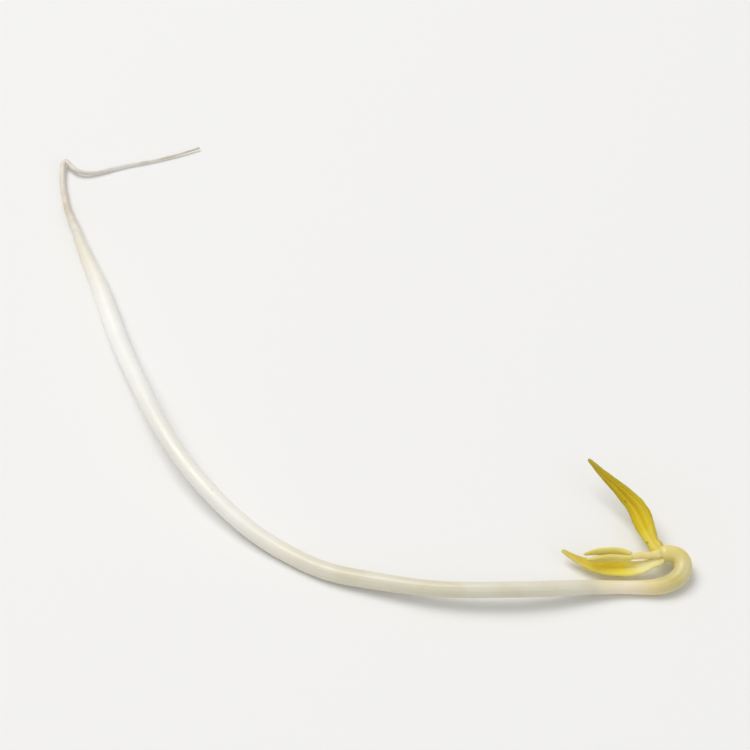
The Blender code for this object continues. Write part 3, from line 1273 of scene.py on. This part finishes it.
@dataclass(kw_only=True)
class SeedLeaf(Blade):
    """A fleshy seed leaf: rounded outside with lengthwise wrinkles, dished inside with a fold."""

    wrinkles: tuple[Furrow, ...] = (
        Furrow(-0.45, 0.10, 0.05),
        Furrow(0.12, 0.09, 0.07),
        Furrow(0.55, 0.08, 0.05),
    )
    rims: tuple[Furrow, ...] = (Furrow(-0.55, 0.12, 0.05), Furrow(0.6, 0.12, 0.05))  # beside the fold
    fold_depth: float = 0.20
    fold_width: float = 0.20
    sway: float = 0.1  # how far the fold and wrinkles stray across
    shrivel: float = 0.05  # unevenness of the skin
    thinnest: float = 0.28  # mm, on the outer side
    thinnest_inside: float = 0.8  # where the outer side has 1

    INNER_POWER = 0.9  # under 1 is fuller than an ellipse
    OUTER_POWER = 0.85
    FADE = 1.05  # over 1 ends the furrows before the tip
    COARSE = (2.2, 1.4, 16.0)  # how close the shrivelling is across, out and along
    FINE = (5.0, 3.0, 40.0)
    FINE_SHARE = 0.45  # where the coarse has 1

    def _section(self, share: float, half: float, angle: float) -> tuple[float, float]:
        """Works out one point of a ring, with its wrinkles or its fold.

        Args:
            share: share of the way along the midrib.
            half: half the width there in mm.
            angle: the angle round the ring, from one margin.

        Returns:
            Mm across the blade, and mm out of its inner face.
        """
        c, s = math.cos(angle), math.sin(angle)
        deep = half * math.sin(math.pi * min(share * self.FADE, 1.0)) ** 0.5
        if s > 0:
            z = max(self.inner * half, min(half, self.thinnest * self.thinnest_inside)) * s**self.INNER_POWER
            middle = self.sway * math.sin(5 * share + self.seed)
            furrows = (Furrow(middle, self.fold_width, self.fold_depth), *self.rims)
            z -= deep * sum(each.depth * groove(c, each.middle, each.width) for each in furrows)
        else:
            z = -max(self.outer * half, min(half, self.thinnest)) * (-s) ** self.OUTER_POWER
            for each in self.wrinkles:
                middle = each.middle + self.sway * math.sin(7 * share + 3 * each.middle + self.seed)
                z += deep * each.depth * groove(c, middle, each.width)
        coarse = self._rough((c, s, share), self.COARSE, self.seed)
        fine = self._rough((c, s, share), self.FINE, -self.seed)
        swell = 1 + self.shrivel * (coarse + self.FINE_SHARE * fine)
        return half * c * swell, z * swell


@dataclass(kw_only=True)
class FoldedLeaf(Blade):
    """A first leaf, folded along its midrib like a closed book, with raised slanting veins.

    Its margins are at +1 across and its fold at -1.
    """

    slit_depth: float = 0.42  # of the slit between its halves
    slit_width: float = 0.26
    vein_height: float = 0.07
    veins: float = 9.0  # from base to tip
    thinnest: float = 0.26  # mm, of each half

    POWER = 0.8  # under 1 is fuller than an ellipse
    FADE = 1.02  # over 1 ends the slit before the tip
    SLANT = 0.55  # of the veins, in their own spacing
    SHARPNESS = 8  # of the veins
    RIB = Furrow(-0.93, 0.12, 1.2)  # the raised midrib, which is 1.2 times as high as the veins
    GRAIN = (3.0, 3.0, 22.0)  # how close the unevenness is across, out and along
    GRAIN_HEIGHT = 0.02

    def _section(self, share: float, half: float, angle: float) -> tuple[float, float]:
        """Works out one point of a ring, with its slit, veins and midrib.

        Args:
            share: share of the way along the midrib.
            half: half the width there in mm.
            angle: the angle round the ring, from one margin.

        Returns:
            Mm across the blade, and mm out of its inner face.
        """
        c, s = math.cos(angle), math.sin(angle)
        thick = max((self.inner if s > 0 else self.outer) * half, min(half, self.thinnest))
        z = thick * math.copysign(abs(s) ** self.POWER, s)
        slit = groove(s, 0.0, self.slit_width) * max(c, 0.0) ** 4
        fading = math.sin(math.pi * min(share * self.FADE, 1.0)) ** 0.4
        x = half * c - half * self.slit_depth * slit * fading
        wave = max(0.0, math.cos(2 * math.pi * (share * self.veins + self.SLANT * c)))
        vein = wave**self.SHARPNESS * abs(s) ** 0.5 * (1 - 0.5 * share)
        rib = self.RIB.depth * groove(c, self.RIB.middle, self.RIB.width)
        grain = self.GRAIN_HEIGHT * self._rough((c, s, share), self.GRAIN, self.seed)
        swell = 1 + self.vein_height * (vein + rib) + grain
        return x * swell, z * swell


# ---- the sprout


class Sprout:
    """The whole sprout: what each piece is made of and which node of the frame it stands for."""

    STEM_IN = 1.30  # mm that the stem runs on into the root, past the collar
    ROOT_IN = 1.20  # mm that the root runs on into the stem

    def __init__(self, grid: Grid) -> None:
        """Builds the trees and effects that the pieces share.

        Args:
            grid: the lying-out grid.
        """
        self.grid = grid
        self.stalk = stalk_tree()
        self.hairs = hair_tree()
        self.effects = Effects()

    def _show(self, piece: Piece, slot: str, *nodes: str) -> None:
        """Makes a finished piece ride on the frame, in place of its nodes.

        Args:
            piece: the piece.
            slot: what its finish is called; not used.
            nodes: the frame's nodes that it replaces.
        """
        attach(piece, "root")
        if nodes:
            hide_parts(*nodes)
        LOG.info("%s: %d faces", piece.name, len(piece.data.polygons))

    def stem_and_root(self) -> None:
        """Makes the stem with its hooked neck, the root, and the root's hairs."""
        axis = Path(ROOT_AXIS + (COLLAR,) + STEM_AXIS)
        collar = float(axis.knots[len(ROOT_AXIS)])
        skin = STEM_FINISH.make(self.effects)
        relief = Relief(
            ridges=4.0, ridge_depth=0.010, ridge_turn=9.0, lump_depth=0.045, lumps_along=26.0,
            ring_depth=0.008, rings_along=70.0, plain_start=0.045,
        )
        stem = Stalk(
            name="stem", path=axis, relief=relief, start=collar - self.STEM_IN,
            round_start=1.25, round_end=0.7, step=0.20, seed=4.0,
        )
        self._show(stem.make(self.grid, self.stalk, skin), "stem_white", "hypocotyl")
        skin = ROOT_FINISH.make(self.effects)
        relief = Relief(
            ridges=3.0, ridge_depth=0.03, ridge_turn=30.0, lump_depth=0.16, lumps_along=34.0,
            ring_depth=0.10, rings_along=170.0, plain_end=0.12,
        )
        root = Stalk(
            name="root_thread", path=axis, relief=relief, end=collar + self.ROOT_IN,
            round_start=0.15, round_end=1.25, step=0.10, seed=9.0,
        )
        thread = root.make(self.grid, self.stalk, skin)
        fringe = Fringe(
            density=9e6, hair_length=0.26 * MM, hair_radius=0.008 * MM, start=0.50, end=0.90, lean=0.5, seed=7
        )
        hairs = run_tree(thread, self.hairs, values_of(fringe) | self.grid.inputs(skin), "root_hairs")
        self._show(thread, "root_tan", "taproot")
        self._show(hairs, "root_tan")

    def seed_leaves(self) -> None:
        """Makes the two fleshy seed leaves."""
        upper = SeedLeaf(
            name="seed_leaf_upper", path=Path(UPPER_MIDRIB, 0.5), face=(-0.25, -0.55, 0.80), twist=25.0,
            outer=0.62, inner=0.30, flare=0.45, flare_at=0.75, seed=2.3,
        )
        lower = SeedLeaf(
            name="seed_leaf_lower", path=Path(LOWER_MIDRIB, 0.5), face=(0.10, -0.20, 0.97), twist=-20.0,
            outer=0.56, inner=0.30, flare=0.45, flare_at=0.75, seed=5.9, fold_depth=0.16,
        )
        skin = UPPER_FINISH.make(self.effects)
        self._show(upper.make(self.grid, skin), "seed_leaf_ochre", "cotyledon_upper")
        skin = LOWER_FINISH.make(self.effects)
        self._show(lower.make(self.grid, skin), "seed_leaf_yellow", "cotyledon_lower")

    def shoot_and_leaves(self) -> None:
        """Makes the short shoot and its two folded first leaves."""
        relief = Relief(
            ridges=5.0, ridge_depth=0.03, ridge_turn=2.0, lump_depth=0.08, lumps_along=4.0,
            ring_depth=0.03, rings_along=20.0,
        )
        shoot = Stalk(
            name="shoot", path=Path(SHOOT_AXIS, 0.3), relief=relief, round_start=0.0, sides=28, step=0.08,
            flare=0.35, flare_at=0.8, seed=12.0,
        )
        skin = SHOOT_FINISH.make(self.effects)
        self._show(shoot.make(self.grid, self.stalk, skin), "shoot_cream", "epicotyl")
        left = FoldedLeaf(
            name="first_leaf_blade_left", path=Path(LEFT_LEAF_MIDRIB, 0.3), face=(0.0, -0.90, 0.42),
            twist=15.0, outer=0.60, inner=0.55, seed=1.0,
        )
        right = FoldedLeaf(
            name="first_leaf_blade_right", path=Path(RIGHT_LEAF_MIDRIB, 0.3), face=(0.0, -0.85, 0.52),
            twist=-15.0, outer=0.60, inner=0.55, seed=8.0,
        )
        skin = LEAF_FINISH.make(self.effects)
        self._show(left.make(self.grid, skin), "leaf_pale", "first_leaf_left")
        self._show(right.make(self.grid, skin), "leaf_pale", "first_leaf_right")


# ---- studio


def aim(thing: Piece, place: Vector, target: Vector) -> None:
    """Puts a light or camera at a place and turns it to look at a target."""
    thing.location = place
    thing.rotation_euler = (target - place).to_track_quat("-Z", "Y").to_euler()


@dataclass(frozen=True)
class Softbox:
    """A square soft light that looks at a point."""

    name: str
    place: Place  # metres, as its size is
    size: float
    power: float  # watts
    colour: Colour

    def make(self, target: Vector) -> None:
        """Adds the light.

        Args:
            target: the point that it looks at.
        """
        light = bpy.data.lights.new(self.name, "AREA")
        light.shape = "SQUARE"
        light.size = self.size
        light.energy = self.power
        light.color = self.colour
        aim(put(self.name, light), Vector(self.place), target)


@dataclass
class Studio:
    """The pale surface, the light and the camera, in metres."""

    target: Place = (0.0025, -0.0022, 0.0)  # the point that the camera looks at
    elevation: float = 50.0  # degrees above the surface
    distance: float = 0.2515  # from the camera to its target
    lens: float = 110.0  # focal length in mm
    clip_start: float = 0.005
    floor_side: float = 30.0
    floor_colour: Colour = (0.90, 0.90, 0.895)
    softboxes: tuple[Softbox, ...] = (
        Softbox("key", (-0.62, 0.50, 1.50), 1.10, 17.0, (1.0, 0.985, 0.96)),
        Softbox("fill", (0.90, -0.90, 0.90), 1.20, 3.4, (0.97, 0.985, 1.0)),
    )
    sky: Colour = (1.0, 1.0, 1.0)
    sky_strength: float = 0.46

    def floor(self) -> None:
        """Adds the plain pale surface that the sprout lies on."""
        half = self.floor_side / 2
        mesh = bpy.data.meshes.new("floor")
        corners = [(-half, -half, 0), (half, -half, 0), (half, half, 0), (-half, half, 0)]
        mesh.from_pydata(corners, [], [(0, 1, 2, 3)])
        material = bpy.data.materials.new("Pale board")
        material.use_nodes = True
        board = {"Base Color": (*self.floor_colour, 1.0), "Roughness": 0.7, "Specular IOR Level": 0.2}
        Graph(material.node_tree).fill(material.node_tree.nodes["Principled BSDF"], board)
        mesh.materials.append(material)
        put("floor", mesh)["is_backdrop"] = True

    def light(self) -> None:
        """Adds the softboxes and an even sky."""
        for softbox in self.softboxes:
            softbox.make(Vector((0, 0, 0)))
        world = bpy.data.worlds.new("sky")
        world.use_nodes = True
        sky = {"Color": (*self.sky, 1.0), "Strength": self.sky_strength}
        Graph(world.node_tree).fill(world.node_tree.nodes["Background"], sky)
        bpy.context.scene.world = world
        bpy.context.scene.view_settings.view_transform = "Standard"

    def camera(self) -> None:
        """Adds the camera, which looks down at the sprout from its front."""
        tilt = math.radians(self.elevation)
        data = bpy.data.cameras.new("camera")
        data.lens = self.lens
        data.clip_start = self.clip_start
        eye = put("camera", data)
        target = Vector(self.target)
        aim(eye, target + Vector((0, -math.cos(tilt), math.sin(tilt))) * self.distance, target)
        bpy.context.scene.camera = eye


def main() -> None:
    """Builds the sprout over its frame, then the studio."""
    logging.basicConfig(level=logging.INFO, format="%(name)s: %(message)s")
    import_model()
    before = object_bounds()
    low, high = (tuple(float(v) for v in corner) for corner in before)
    sprout = Sprout(Grid(GRID_MIDDLE, low, high))
    sprout.stem_and_root()
    sprout.seed_leaves()
    sprout.shoot_and_leaves()
    studio = Studio()
    studio.floor()
    studio.light()
    studio.camera()


if __name__ == "__main__":
    main()
